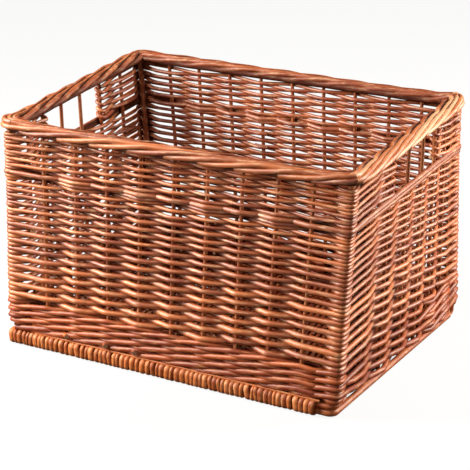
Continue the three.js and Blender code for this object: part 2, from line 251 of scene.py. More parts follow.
def willow(name, deep, skin, pale, polish=0.9):
    """A finish that goes from a deep tone over that of the skin to a pale one."""
    material = bpy.data.materials.new(name)
    material.use_nodes = True
    nodes = Nodes(material.node_tree)
    grain = nodes.node("Attribute", {"attribute_name": "grain"}, {}, 1)
    tone = nodes.node("Attribute", {"attribute_name": "tone"}, {}, 2)
    cut = nodes.node("Attribute", {"attribute_name": "cut"}, {}, 2)
    hollow = nodes.node("Attribute", {"attribute_name": "hollow"}, {}, 2)

    def stretched(along, round_):
        sockets = {0: grain, 1: (along, round_, round_)}
        return nodes.node("VectorMath", {"operation": "MULTIPLY"}, sockets)

    def noise(along, round_, detail):
        sockets = {"Vector": stretched(along, round_), "Scale": 1, "Detail": detail, "Roughness": 0.6}
        return nodes.node("TexNoise", {}, sockets)

    streak = noise(0.035, 1.1, 3)
    patch = noise(0.028, 0.12, 2)
    bloom = noise(0.06, 0.3, 2)
    spot = nodes.node("TexVoronoi", {}, {"Vector": stretched(0.045, 0.11), "Scale": 1})
    scar = 1 - between(nodes, spot, 0.05, 0.13)

    # From deep to skin by the rod's tone, which is random but holds painted shade for rods inside a wall,
    # and by patches.
    colour = blend(nodes, tone * 0.75 + patch * 0.55 - 0.12, deep, skin)
    colour = blend(nodes, between(nodes, bloom, 0.48, 0.8) * 0.75, colour, pale)
    colour = blend(nodes, between(nodes, streak, 0.52, 0.75) * 0.45, colour, deep)
    colour = blend(nodes, scar * 0.7, colour, SCAR_BROWN)
    # Painted light: a rod whose tone was raised for a lit side of the border turns toward pale, and the
    # palest rods of their own tone a little.
    colour = blend(nodes, between(nodes, tone, 0.9, 1.5) * 0.5, colour, pale)
    # Painted shade: the side of a rod against the stakes, the border's underside, and the darkened posts
    # and stakes.
    colour = blend(nodes, hollow * 0.9, colour, PAINTED_SHADE_BROWN)
    colour = blend(nodes, cut, colour, CUT_WOOD)

    height = streak * 0.5 + bloom * 0.4 - scar * 0.6
    bump = nodes.node("Bump", {}, {"Strength": 0.35, "Distance": 0.0006, "Height": height})
    dullness = 0.33 + streak * 0.2 + patch * 0.12 + hollow * 0.4
    sockets = {"Base Color": colour, "Roughness": dullness, "Normal": bump, "Specular IOR Level": 0.25,
               "Coat Weight": polish - hollow * polish, "Coat Roughness": 0.45, "Coat IOR": 1.68}
    surface = nodes.node("BsdfPrincipled", {}, sockets)
    nodes.node("OutputMaterial", {}, {"Surface": surface})
    return material


FINISHES = {
    "stakes": willow("stake_willow", tint(150, 60, 22), tint(230, 136, 78), tint(246, 188, 136)),
    "siding": willow("siding_willow", tint(128, 36, 8), tint(219, 119, 57), tint(246, 192, 142)),
    "wale": willow("wale_willow", tint(118, 34, 8), tint(198, 94, 40), tint(228, 154, 98), 0.5),
    "border": willow("border_willow", tint(128, 42, 10), tint(212, 117, 59), tint(238, 190, 146)),
    "binding": willow("binding_willow", tint(140, 56, 20), tint(222, 128, 68), tint(242, 180, 122), 0.3),
    "base": willow("base_willow", tint(120, 38, 9), tint(200, 102, 45), tint(224, 158, 104), 0.5),
}
print("finishes:", list(FINISHES))

# %% [markdown]
# ## The shape of the basket
# The walls of the real basket aren't quite true: the foot is turned by a few degrees under the rim. Rods
# are laid out on a straight basket, in millimetres, and each point is turned at the end by its height.
# How far a point is outside the middle line of its wall says which side of a rod lies against the stakes.

# %% Places on the basket
UP = np.array((0.0, 0.0, 1.0))
EAST = np.array((1.0, 0.0, 0.0))
RIM_LEVEL = 310.8
FOOT_TURN = math.radians(-3)
END_WALL, LONG_WALL = 239, 176  # from the middle of the basket to the middle of a wall


def turned(points):
    """Where points go as the foot is turned under the rim."""
    turn = FOOT_TURN * np.clip(1 - points[:, 2] / RIM_LEVEL, 0, 1)
    x = np.cos(turn) * points[:, 0] - np.sin(turn) * points[:, 1]
    y = np.sin(turn) * points[:, 0] + np.cos(turn) * points[:, 1]
    return np.stack([x, y, points[:, 2]], -1)


def beyond_walls(points):
    """How far points are outside the middle line of the end walls, and of the long walls."""
    return np.abs(points[:, :2]) - (END_WALL, LONG_WALL)


corner_of_foot = turned(np.array([(END_WALL, -LONG_WALL, 0.0)]))[0]
print("the front right corner of the foot is at", corner_of_foot.round(1), "mm")

# %% [markdown]
# ## A rod
# All of the basket is rods, so one tool makes them all: it sweeps a round section along a path, thinner
# towards the tip, closes both ends with a cut face, and writes the rod's values into the mesh. A curve
# with a bevel would be shorter, but it can't taper by the rod's own length or carry those values. The
# rods of a piece share one mesh, and each gets a strip of the texture sheet to itself, with small discs
# at its end for the two cut faces.

# %% A mesh put together from parts
class Surface:
    """The points, faces, texture places and values of a mesh."""

    def __init__(self):
        self.points, self.faces, self.sheet = [], [], []
        self.values = {"tone": [], "cut": [], "hollow": [], "grain": []}
        self.count = 0

    def add(self, points, faces, sheet, **values):
        self.points.append(points)
        self.faces.extend((faces + self.count).tolist())
        self.sheet.append(sheet)
        for name, value in values.items():
            self.values[name].append(value)
        self.count += len(points)

    def mesh(self, name):
        mesh = bpy.data.meshes.new(name)
        mesh.from_pydata(np.concatenate(self.points) * 0.001, [], self.faces)
        mesh.polygons.foreach_set("use_smooth", np.ones(len(self.faces), bool))
        mesh.uv_layers.new(name="OFBake").data.foreach_set("uv", np.concatenate(self.sheet).ravel())
        for value, parts in self.values.items():
            kind, field = ("FLOAT_VECTOR", "vector") if value == "grain" else ("FLOAT", "value")
            layer = mesh.attributes.new(value, kind, "POINT")
            layer.data.foreach_set(field, np.concatenate(parts).ravel())
        mesh.update()
        return mesh


print("values on a mesh:", list(Surface().values))

# %% Sections along a path
def sections(path, lean_on):
    """The way ahead and the two directions of the section at each point, carried without twist."""
    steps = np.gradient(path, axis=0)
    ahead = steps / np.linalg.norm(steps, axis=-1, keepdims=True)
    rise = np.empty_like(path)
    held = lean_on
    for i, forward in enumerate(ahead):
        held = held - forward * (held @ forward)
        held = held / math.sqrt(held @ held)
        rise[i] = held
    return ahead, rise, np.cross(ahead, rise)


def taper(count, radius):
    """Radii from the butt of a rod to its tip."""
    return radius * np.linspace(1.07, 0.9, count)


print("a rod of 6 mm tapers from", *(round(2 * r, 1) for r in taper(2, 3.0)), "mm")

# %% Rods into a mesh
chance = np.random.default_rng(7)
# Painted shade: a rod that lies inside a wall loses this share of its tone, over this many millimetres.
INSIDE_DARKER, WALL_DEPTH = 0.8, 7  # how much of its tone a rod loses, and over how many millimetres
NEAR_WALL = 12  # millimetres, beyond which a rod isn't in a wall
# Painted shade on the back of a rod is darkest this far out of the middle of its wall.
END_DARKEST, LONG_DARKEST = 2.2, 4  # millimetres out of a wall, where a rod's back is darkest
SKIN_START, SKIN_LENGTH = 0.005, 0.965  # along the texture sheet
DISC_START, DISC_STEP, DISC_RADIUS = 0.979, 0.006, 0.004
CUT_BULGE = 0.12


class Bundle:
    """The rods of one piece. Paths are in millimetres, on the basket before its foot is turned."""

    def __init__(self, sides=8):
        self.sides = sides
        self.rods = []

    def rod(self, path, radius, lean_on=UP, flat=1.0, shade=0.0, painted_light=0.0):
        """lean_on is the direction that the section keeps, and flat is its thickness across that."""
        path = np.asarray(path, float)
        beyond = beyond_walls(path)
        outside, wall = beyond.max(1), beyond.argmax(1)
        # A rod's own tone is drawn at random; the lit sides of the border get painted light on top of it,
        # and rods inside a wall get painted shade.
        inside = np.clip(0.3 - outside / WALL_DEPTH, 0, 1)
        tone = (chance.random() + painted_light) * (1 - INSIDE_DARKER * inside)
        # The side of a rod that faces the middle of its wall gets painted shade; depth points to it and
        # says how much.
        outward = np.sign(path) * np.eye(3)[wall]
        darkest = np.where(wall == 0, END_DARKEST, LONG_DARKEST)
        depth = -outward * np.where(np.abs(outside) < NEAR_WALL, outside / darkest, 0)[:, None]
        radius = np.broadcast_to(radius, len(path))
        shade = np.broadcast_to(shade, len(path))
        self.rods.append((turned(path), radius, lean_on, flat, tone, depth, shade))

    def sweep(self, surface, number):
        """Adds the skin of one rod to a surface, and its cut ends."""
        path, radius, lean_on, flat, tone, depth, shade = self.rods[number]
        sides, strip = self.sides, 1 / len(self.rods)
        turn = np.linspace(0, 2 * math.pi, sides, endpoint=False)
        ahead, rise, across = sections(path, lean_on)
        circle = rise[:, None] * np.cos(turn)[:, None] + flat * across[:, None] * np.sin(turn)[:, None]
        rings = path[:, None] + circle * radius[:, None, None]
        # Painted shade on the side that depth points to, and never less than the rod's own shade value.
        hollow = np.clip((circle * depth[:, None]).sum(-1), shade[:, None], 1)
        far = np.concatenate([[0], np.cumsum(np.linalg.norm(np.diff(path, axis=0), axis=1))])
        start = 1000.0 * number + 137.0 * len(bpy.data.meshes)
        grain = np.empty(rings.shape)
        grain[..., 0] = far[:, None] + start
        grain[..., 1] = np.cos(turn) * radius[:, None]
        grain[..., 2] = np.sin(turn) * radius[:, None]

        ring_starts = np.arange(len(path) - 1)[:, None] * sides
        here = ring_starts + np.arange(sides)
        beside = ring_starts + (np.arange(sides) + 1) % sides
        quads = np.stack([here, beside, beside + sides, here + sides], -1).reshape(-1, 4)
        u = SKIN_START + SKIN_LENGTH * far / far[-1]
        v = (number + 0.05 + 0.9 * np.arange(sides + 1) / sides) * strip
        u0, v0 = np.broadcast_arrays(u[:-1, None], v[None, :-1])
        u1, v1 = np.broadcast_arrays(u[1:, None], v[None, 1:])
        sheet = np.stack([u0, v0, u0, v1, u1, v1, u1, v0], -1).reshape(-1, 2)
        surface.add(rings.reshape(-1, 3), quads, sheet, tone=np.repeat(tone, sides),
                    cut=np.zeros(hollow.size), hollow=hollow.ravel(), grain=grain.reshape(-1, 3))

        for end, sign in ((0, -1), (-1, 1)):
            middle = path[end] + ahead[end] * sign * radius[end] * CUT_BULGE
            fan = np.stack([np.full(sides, sides), *(here[0], beside[0])[::sign]], -1)
            disc = np.array((DISC_START + DISC_STEP * (1 + sign), (number + 0.5) * strip))
            ring = np.stack([DISC_RADIUS * np.cos(turn), 0.4 * strip * np.sin(turn)], -1)
            spots = np.concatenate([disc + ring, disc[None]])
            ends = np.concatenate([grain[end], [[far[end] + start, 0, 0]]])
            surface.add(np.concatenate([rings[end], middle[None]]), fan, spots[fan].reshape(-1, 2),
                        tone=np.repeat(tone[end], sides + 1), cut=np.ones(sides + 1),
                        hollow=np.zeros(sides + 1), grain=ends)

    def piece(self, node, slot):
        """One object that stands for that node."""
        surface = Surface()
        for number in range(len(self.rods)):
            self.sweep(surface, number)
        name = "willow." + node
        mesh = surface.mesh(name)
        mesh.materials.append(FINISHES[slot])
        made = bpy.data.objects.new(name, mesh)
        bpy.context.scene.collection.objects.link(made)
        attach(made, "root")
        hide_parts(node)


print("corners of a rod's section:", Bundle().sides)

# %% [markdown]
# ## Where the uprights stand
# Four posts and thirty stakes stand on a rectangle that is a little longer and narrower at the rim than at
# the foot. They are counted round the basket from the front left corner: ten gaps along the front, seven
# along the right, and so on. In the end walls they stand nearer to the far corner, so the hand holes
# aren't in the middle. Every rod is then told in those counts, as a weaver would: which stake, which
# side, how high.

# %% Places of the uprights
Wall = namedtuple("Wall", "name along out gaps shift")
WALLS = (Wall("front", (1, 0, 0), (0, -1, 0), 10, 0), Wall("right", (0, 1, 0), (1, 0, 0), 7, 36),
         Wall("back", (-1, 0, 0), (0, 1, 0), 10, 0), Wall("left", (0, -1, 0), (-1, 0, 0), 7, 25))
STANDS = [(number, step) for number, wall in enumerate(WALLS) for step in range(wall.gaps)]
ROUND = len(STANDS)
FOOT_LENGTH, FOOT_WIDTH = 474, 354
LONGER, NARROWER = 8, 6  # at the rim


def directions(number):
    """Along the wall, and out of it."""
    return np.array(WALLS[number].along, float), np.array(WALLS[number].out, float)


def standing(count, z):
    """The middle of an upright at a height."""
    number, step = STANDS[count % ROUND]
    along, out = directions(number)
    length = FOOT_LENGTH + LONGER * z / RIM_LEVEL
    width = FOOT_WIDTH - NARROWER * z / RIM_LEVEL
    run, depth = (length, width) if number % 2 == 0 else (width, length)
    gaps, shift = WALLS[number].gaps, WALLS[number].shift
    place = run * (step / gaps - 0.5) + shift * math.sin(math.pi * step / gaps)
    return along * place + out * depth / 2 + UP * z


def is_corner(count):
    return STANDS[count % ROUND][1] == 0


def is_end_stake(count):
    """Whether it is a stake of the right or the left wall."""
    return STANDS[count % ROUND][0] % 2 == 1 and not is_corner(count)


def stand_name(count):
    number, step = STANDS[count % ROUND]
    name = WALLS[number].name
    return f"post_{WALLS[number - 1].name}_{name}" if step == 0 else f"stake_{name}_{step}"


print("uprights:", ROUND, "of which", sum(map(is_corner, range(ROUND))), "are posts")

# %% [markdown]
# ## Uprights
# A cylinder would do for a stake, but a real one sways a little between the rows that hold it. The posts
# reach up into the border, each to its own height, and some of their tips show. The posts below it, and
# the stakes that cross a hand hole as bare bars, get painted shade that makes them darker than the rest.

# %% Uprights
POST_RADIUS, STAKE_RADIUS, TOP_SHARE = 4.6, 2.9, 0.86
POST_TOPS = {"post_left_front": 320, "post_front_right": 321, "post_right_back": 324, "post_back_left": 313}
STAKE_TOP = 309
POST_DARK, POST_DARK_BELOW = 0.4, 300
HOLE_STAKES = (13, 14, 30, 31)
HOLE_DARK, HOLE_DARK_ABOVE = 0.55, 250
UPRIGHT_POINTS = 22

for count in range(ROUND):
    node = stand_name(count)
    low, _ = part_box(node)
    heights = np.linspace(low.z * 1000, POST_TOPS.get(node, STAKE_TOP), UPRIGHT_POINTS)
    sway = np.cumsum(chance.normal(0, 0.12, (UPRIGHT_POINTS, 3)), axis=0) * (1, 1, 0)
    # Painted shade on the posts below the border and on the stakes across a hand hole.
    shade = np.zeros(UPRIGHT_POINTS)
    if is_corner(count):
        shade[heights < POST_DARK_BELOW] = POST_DARK
    elif count in HOLE_STAKES:
        shade[heights > HOLE_DARK_ABOVE] = HOLE_DARK
    thick = POST_RADIUS if is_corner(count) else STAKE_RADIUS
    path = [standing(count, z) for z in heights] + sway
    upright = Bundle(sides=10)
    upright.rod(path, np.linspace(thick, thick * TOP_SHARE, UPRIGHT_POINTS), EAST, shade=shade)
    upright.piece(node, "stakes")
print("uprights made:", ROUND)

# %% [markdown]
# ## Weaving
# A rod passes outside one stake and inside the next. A willow rod is stiff, so it runs nearly straight
# between them and bends at the stakes, and beside a corner post it changes sides within part of the gap.
# Round a post it makes a corner that lies between a quarter circle and a square. A modelled wave could be
# repeated along each wall, but no two gaps are alike, so a path is worked out from the side and the level
# of the rod at each upright.

# %% A woven path
FRACTIONS = (0, 0.07, 0.22, 0.4, 0.6, 0.78, 0.93, 1)  # of a gap, where a path has points
SOFTNESS = 0.3  # 0 is straight between the stakes, and 1 a smooth wave
POST_SHARE = 0.6  # of the gap beside a post, within which a rod changes sides
CORNER_TURNS = np.radians((0, 28, 45, 62))
SQUARENESS = 0.6  # 0 makes a quarter circle of a corner, and 1 a square


def wave(t):
    return (1 - math.cos(math.pi * t)) / 2


def weave(start, stop, side, level):
    """Points from upright start to upright stop, which may be fractions of a gap."""
    points = []
    for count in range(math.floor(start), math.ceil(stop)):
        number = STANDS[count % ROUND][0]
        out = directions(number)[1]
        for t in FRACTIONS:
            if not start <= count + t <= stop or (t == 1 and count + 1 < stop):
                continue
            ease = (1 - SOFTNESS) * t + SOFTNESS * wave(t)
            z = level(count) * (1 - ease) + level(count + 1) * ease
            middle = standing(count, z) * (1 - t) + standing(count + 1, z) * t
            bend = ease
            if is_corner(count):
                bend = wave(min(1, t / POST_SHARE))
            elif is_corner(count + 1):
                bend = wave(max(0, 1 - (1 - t) / POST_SHARE))
            points.append(middle + out * (side(count) * (1 - bend) + side(count + 1) * bend))
        if is_corner(count + 1) and count + 1 < stop:
            next_out = directions((number + 1) % 4)[1]
            centre = standing(count + 1, level(count + 1))
            for turn in CORNER_TURNS:
                reach = side(count + 1) / max(math.cos(turn), math.sin(turn)) ** SQUARENESS
                points.append(centre + reach * (math.cos(turn) * out + math.sin(turn) * next_out))
    return np.array(points)


print("points of one round:", len(weave(0, ROUND, lambda count: 6.0, lambda count: 100.0)))

# %% [markdown]
# ## Lower siding
# Single rods, row on row, in front of one stake and behind the next. The weaver used thicker rods at the
# foot and finer ones higher up, so the rows get closer: from about 7 mm to a little over 4 mm. On the end
# walls the rods are finer than on the long ones, and the light shows between them. A row is two rods; the
# new one starts on the inside, behind a stake and behind the end of the old one, so that no joint shows
# from outside.

# %% Lower siding
LOWER_ROWS = 31
SIDING_FLOOR, SIDING_TOP = 63.8, 240.4
SIDING_REACH = 2.7  # from the middle of a stake to the near side of a rod
SIDING_FULLNESS = 0.57  # radius of a rod in heights of its row
SIDING_WOBBLE = 0.45
SIDING_OVERLAP = 0.25  # of a gap, at both ends of a rod
HALF_ROUND = 15
CORNER_ROOM = 1.0
END_FINER = 0.88
row_heights = np.linspace(1.24, 0.76, LOWER_ROWS)
row_heights *= (SIDING_TOP - SIDING_FLOOR) / row_heights.sum()
row_levels = SIDING_FLOOR + np.cumsum(row_heights) - row_heights / 2


def is_outside(row, count):
    return (row + STANDS[count % ROUND][1]) % 2 == 0


def inside_near(row, count):
    """The nearest stake, from count on, that the row passes on the inside."""
    while is_corner(count) or is_outside(row, count):
        count += 1
    return count % ROUND


def siding_row(bundle, row, breaks):
    radius = row_heights[row] * SIDING_FULLNESS
    reach = SIDING_REACH + radius
    wobble = chance.normal(0, SIDING_WOBBLE, ROUND)

    def side(count):
        if is_corner(count):
            return reach + CORNER_ROOM
        return reach if is_outside(row, count) else -reach

    def level(count):
        return row_levels[row] + wobble[count % ROUND]

    for first, last in zip(breaks, breaks[1:] + [breaks[0] + ROUND]):
        def tucked(count):
            return side(count) - (2 * radius if count == first else 0)

        path = weave(first - SIDING_OVERLAP, last + SIDING_OVERLAP, tucked, level)
        beyond = beyond_walls(path)
        finer = np.where(beyond[:, 0] > beyond[:, 1], END_FINER, 1)
        bundle.rod(path, taper(len(path), radius * chance.uniform(0.92, 1.06)) * finer)


lower = [Bundle(), Bundle()]
for row in range(LOWER_ROWS):
    first = inside_near(row, int(chance.integers(ROUND)))
    second = inside_near(row, first + HALF_ROUND + int(chance.integers(5)))
    siding_row(lower[row * 2 // LOWER_ROWS], row, sorted([first, second]))
for half, bundle in enumerate(lower):
    bundle.piece(f"lower_siding_{half + 1}", "siding")
print("lower siding:", LOWER_ROWS, "rows", sum(len(b.rods) for b in lower), "rods")

# %% [markdown]
# ## Foot wale
# A wale is three rods worked together: each comes out under the one before it, goes in front of two stakes
# and climbs over the next ones, then goes behind a stake. Four rounds of thick rods lock the stakes at the
# foot, the thickest at the bottom. The end walls have no bound edge under them, so there the rows spread
# down to the ground, and over most of their length they open out: two rods are woven singly and the third
# lies inside. At the front the butt of each rod was left standing out between the stakes.

# %% Foot wale
WALE_ROUNDS, WALE_FLOOR, WALE_TOP = 4, 21.8, 63.6
WALE_HEIGHT = (WALE_TOP - WALE_FLOOR) / WALE_ROUNDS
WALE_RADIUS, WALE_REACH, WALE_WOBBLE = 3.55, 3.0, 0.3
WALE_CLIMB, OPEN_CLIMB = 0.34, 0.25  # heights of a round
WALE_ROD_GAPS, WALE_OVERLAP = 17, 0.2  # gaps along a rod, and at its ends
END_FLOOR = 10.4
END_SPREAD = (WALE_TOP - END_FLOOR) / (WALE_TOP - WALE_FLOOR)
LAST_OPEN_STEP = 4
BUTTS = (-152.0, -91.0, -46.0)  # along the front
BUTT_LEVEL, BUTT_RADIUS = 29.5, 3.4


def foot_rod(rod):
    reach = WALE_REACH + WALE_RADIUS
    wobble = chance.normal(0, WALE_WOBBLE, ROUND)
    bundle = Bundle()

    def phase(count):
        return (count + rod) % 3

    def is_open(count):
        return is_end_stake(count) and STANDS[count % ROUND][1] <= LAST_OPEN_STEP

    def side(count):
        if is_open(count) and rod == 2:
            return -reach - 1
        if is_open(count):
            return reach if (count + rod) % 2 == 0 else -reach
        return (-reach, reach, reach + 1.6)[phase(count)] + (1 if is_corner(count) else 0)

    def level(count):
        lap = min(max(count // ROUND, 0), WALE_ROUNDS - 1)
        climb = (0, -WALE_CLIMB, WALE_CLIMB)[phase(count)]
        if is_open(count):
            climb = (-OPEN_CLIMB, OPEN_CLIMB, 0)[rod]
        z = WALE_FLOOR + WALE_HEIGHT * (lap + 0.5 + climb) + wobble[count % ROUND]
        return WALE_TOP - (WALE_TOP - z) * (END_SPREAD if is_end_stake(count) else 1)

    whole = ROUND * WALE_ROUNDS
    joins = [0]
    while joins[-1] < whole:
        near = joins[-1] + WALE_ROD_GAPS
        while phase(near) != 0:
            near += 1
        joins.append(min(near, whole))
    for first, last in zip(joins, joins[1:]):
        def tucked(count):
            return side(count) - (2 * WALE_RADIUS if count == first and first > 0 else 0)

        start = first - (WALE_OVERLAP if first > 0 else 0)
        stop = last + (WALE_OVERLAP if last < whole else 0)
        path = weave(start, stop, tucked, level)
        bundle.rod(path, taper(len(path), WALE_RADIUS * (1.12 - 0.05 * first / ROUND)))
    butt = [(BUTTS[rod] - 20 + 20 * t, -170 - 21 * t, BUTT_LEVEL) for t in np.linspace(0, 1, 6)]
    bundle.rod(butt, BUTT_RADIUS)
    bundle.piece(f"foot_wale_{rod + 1}", "wale")


for rod in range(3):
    foot_rod(rod)
print("foot wale:", WALE_ROUNDS, "rounds of 3 rods")

# %% [markdown]
# ## Band under the hand holes
# One row of stout rods carries the hand holes. On the long walls two of them are paired: while one is in
# front of a stake the other is behind it, and they change places in every gap. On the end walls both lie
# outside all the stakes, one above the other, as a sill of the hole. A third rod is woven singly below
# them.

# %% Band under the hand holes
BAND_RADII = (3.0, 3.5, 3.5)
BAND_LEVELS = (242.6, 247.2, 247.2)
SILL_STEPS = (0, 2.4, -2.4)
BAND_REACH, BAND_CORNER_ROOM = 3.0, 0.4
PAIR_CLIMB, BAND_WOBBLE = 0.8, 0.25
BAND_OVERLAP = 0.1  # of a gap


def band_rod(rod):
    radius, middle = BAND_RADII[rod], BAND_LEVELS[rod]
    reach = BAND_REACH + radius
    wobble = chance.normal(0, BAND_WOBBLE, ROUND)
    bundle = Bundle()

    def is_sill(count):
        return rod > 0 and is_end_stake(count)

    def outside(count):
        return is_corner(count) or is_sill(count) or (count + rod) % 2 == 0

    def side(count):
        return (reach if outside(count) else -reach) + (BAND_CORNER_ROOM if is_corner(count) else 0)

    def level(count):
        if is_sill(count):
            return middle + SILL_STEPS[rod]
        climb = PAIR_CLIMB if outside(count) else -PAIR_CLIMB
        return middle + wobble[count % ROUND] + (climb if rod > 0 else 0)

    joins = [rod + 2, rod + 18, rod + 2 + ROUND]
    for first, last in zip(joins, joins[1:]):
        path = weave(first - BAND_OVERLAP, last + BAND_OVERLAP, side, level)
        bundle.rod(path, taper(len(path), radius))
    bundle.piece(f"hole_wale_{rod + 1}", "border")


for rod in range(3):
    band_rod(rod)
print("band under the hand holes: 3 rods")

# %% [markdown]
# ## Upper siding
# Above the band the weaver left a hand hole in each end wall. The rods of the front and of the back each
# go as far as the stake at the edge of a hole, round it, and back again in the next row. So a whole half
# of the siding is one path to and fro, which is then cut into rods. They are finer than those below and
# lie less evenly.

# %% Upper siding
UPPER_ROWS = 11
UPPER_FLOOR, UPPER_TOP = 251.2, 302.4
UPPER_PITCH = (UPPER_TOP - UPPER_FLOOR) / UPPER_ROWS
UPPER_RADIUS, UPPER_REACH, UPPER_WOBBLE = 2.45, 2.8, 0.6
UPPER_RODS = 16  # in each half
LOOP_TURNS = np.radians((30, 60, 90, 120, 150))
LOOP_PINCH = 1.8


def upper_half(node, first, last):
    reach = UPPER_REACH + UPPER_RADIUS
    path = []
    for row in range(UPPER_ROWS):
        level_at = UPPER_FLOOR + UPPER_PITCH * (row + 0.5)
        wobble = chance.normal(0, UPPER_WOBBLE, ROUND)

        def side(count):
            if is_corner(count):
                return reach + CORNER_ROOM
            return reach if (row + count) % 2 == 0 else -reach

        def level(count):
            return level_at + wobble[count % ROUND]

        going = weave(first, last, side, level)
        path.extend(going if row % 2 == 0 else going[::-1])
        if row < UPPER_ROWS - 1:
            edge, sign = (last, 1) if row % 2 == 0 else (first, -1)
            along, out = directions(STANDS[edge % ROUND][0])
            for turn in LOOP_TURNS:
                z = level_at + UPPER_PITCH * turn / math.pi
                swing = out * math.cos(turn) * np.sign(side(edge)) + along * sign * math.sin(turn)
                path.append(standing(edge, z) + swing * (reach - LOOP_PINCH * math.sin(turn)))
    bundle = Bundle()
    path = np.array(path)
    cuts = np.linspace(0, len(path) - 1, UPPER_RODS + 1).astype(int)
    for begin, end in zip(cuts, cuts[1:]):
        thick = UPPER_RADIUS * chance.uniform(0.88, 1.14)
        bundle.rod(path[begin:end + 1], taper(end + 1 - begin, thick))
    bundle.piece(node, "siding")


upper_half("upper_siding_front", -2, 12)
upper_half("upper_siding_back", 15, 29)
print("upper siding:", UPPER_ROWS, "rows on each side")

# %% [markdown]
# ## Section of the border
# The tops of the stakes are laid down along the rim and over one another, and make a flat rope of four
# strands. The section of the rope is a rounded box, and a strand's place in it is a length along the
# outline of that box: up the outer face, over the top, down the inner face and back underneath. The rim
# is a rounded rectangle too, seen from above, so one function walks round both.

# %% Section of the border
COMPASS = [np.array(way, float) for way in ((1, 0), (0, 1), (-1, 0), (0, -1))]
BORDER_ROD = 3.5
BORDER_WIDTH, BORDER_THICKNESS = 26.0, 16.0
SECTION_HALF = (BORDER_WIDTH / 2 - BORDER_ROD, BORDER_THICKNESS / 2 - BORDER_ROD)
SECTION_BEND = 3.5


def outline_length(half, radius):
    return 4 * (half[0] + half[1] - 2 * radius) + 2 * math.pi * radius


def on_outline(distance, half, radius, first):
    """A point on a rounded rectangle, the way out there, and how far off the nearest bend is.

    The distance runs anticlockwise from the start of the side that faces the compass point first."""
    bend = radius * math.pi / 2
    left = distance % outline_length(half, radius)
    for side in range(first, first + 4):
        out, ahead = COMPASS[side % 4], COMPASS[(side + 1) % 4]
        reach, run = half[side % 2], 2 * (half[(side + 1) % 2] - radius)
        if left < run:
            return out * reach + ahead * (left - run / 2), out, min(left, run - left)
        left -= run
        if left < bend:
            way = out * math.cos(left / radius) + ahead * math.sin(left / radius)
            return out * (reach - radius) + ahead * run / 2 + way * radius, way, 0
        left -= bend


OUTLINE = outline_length(SECTION_HALF, SECTION_BEND)
FACE = 2 * (SECTION_HALF[1] - SECTION_BEND) + SECTION_BEND * math.pi / 2
TOP = OUTLINE / 2 - FACE
STATIONS = (0, FACE, FACE + 0.58 * TOP, OUTLINE / 2, OUTLINE / 2 + FACE, OUTLINE)
MOMENTS = (0, 0.12, 0.32, 0.43, 0.65, 1)  # of a turn, when a strand is at each station
print("outline of the border's section:", round(OUTLINE, 1), "mm for 8 rods of", 2 * BORDER_ROD, "mm")

# %% [markdown]
# ## Border
# Each strand is two rods that follow one another. They come up quickly at the outer face, cross the top
# on a long slant to the inner edge, go down and return underneath. A dark hole is left between one
# crossing and the next, widest on the right side. The rope rises over the posts at the corners. Its
# underside and inner face get painted shade. On the real basket each strand is many short rods; here it
# is cut at the corners, so that every side has rods of its own tone and thickness, and the rods of the
# right side, and a little those of the left, are made paler as painted light.

# %% Border
BORDER_TURNS = 4
BORDER_HALF = np.array((244.0, 177.0))
BORDER_BEND = 10.0
BORDER_LENGTH = outline_length(BORDER_HALF, BORDER_BEND)
FACING_FRONT = 3  # compass point
HOLES, HOLE_PITCH, HOLE_ACROSS, HOLE_WIDTH, HOLE_LENGTH = 32, 51.6, -5.2, 6, 10
HOLE_PUSH, HOLE_PUSH_RIGHT = 1.2, 3.0
RISE_FRONT, RISE_BACK, RISE_LENGTH = 3.5, 0.5, 20  # over the posts
RISE_BACK_RIGHT, RISE_SHARE = 2.5, 0.012  # more over one of them, which stands higher
INNER_THINNER = 0.8  # of the lower half of the section, at the inner edge
WANDER = 0.35
# Painted light: how much paler the rods of each side are, front, right, back and left.
PAINTED_LIGHT_SIDES = (0, 0.65, 0, 0.2)
SHARES = np.linspace(0, 1, 700)
LONG_SIDE, SHORT_SIDE = 2 * (BORDER_HALF - BORDER_BEND) + BORDER_BEND * math.pi / 2
CORNER_PLACES = np.cumsum((LONG_SIDE, SHORT_SIDE, LONG_SIDE)) - BORDER_BEND * math.pi / 4
CORNER_SHARES = CORNER_PLACES / (2 * (LONG_SIDE + SHORT_SIDE))


def hump(distance, width):
    return math.exp(-(distance / width) ** 2)


def border_rod(strand, twin):
    """The path of one rod of a strand round the rim, and the painted shade it gets at each point."""
    path, shade = [], []
    drift = chance.uniform(0, 6, 2)
    for share in SHARES:
        turn = share * BORDER_TURNS - strand / 4 - twin / 8
        section_place = np.interp(turn % 1, MOMENTS, STATIONS)
        across, rise = on_outline(section_place, SECTION_HALF, SECTION_BEND, 0)[0]
        rim_place = share % 1 * BORDER_LENGTH
        middle, out, from_corner = on_outline(rim_place, BORDER_HALF, BORDER_BEND, FACING_FRONT)
        if across < 0 and rise < 0:
            rise *= 1 + INNER_THINNER * across / (BORDER_WIDTH / 2)
        if rise > 0:
            from_hole = ((share * HOLES) % 1 - 0.5) * HOLE_PITCH
            beside = (across - HOLE_ACROSS) / HOLE_WIDTH
            push = HOLE_PUSH_RIGHT if middle[0] > 200 else HOLE_PUSH
            across += push * hump(from_hole, HOLE_LENGTH) * hump(beside, 1) * math.tanh(3 * beside)
        rise += RISE_BACK_RIGHT * hump(share - CORNER_SHARES[1], RISE_SHARE)
        rise += (RISE_FRONT if middle[1] < 0 else RISE_BACK) * hump(from_corner, RISE_LENGTH)
        rise += WANDER * math.sin(90 * share + drift[0])
        across += WANDER * math.sin(70 * share + drift[1])
        path.append((*(middle + out * across), RIM_LEVEL + rise))
        # Painted shade on the underside and the inner face of the rope, none on its outer part.
        shade.append(0.0 if across > 7 else np.clip((3 - rise) / 4, 0, 1))
    return np.array(path), np.array(shade)


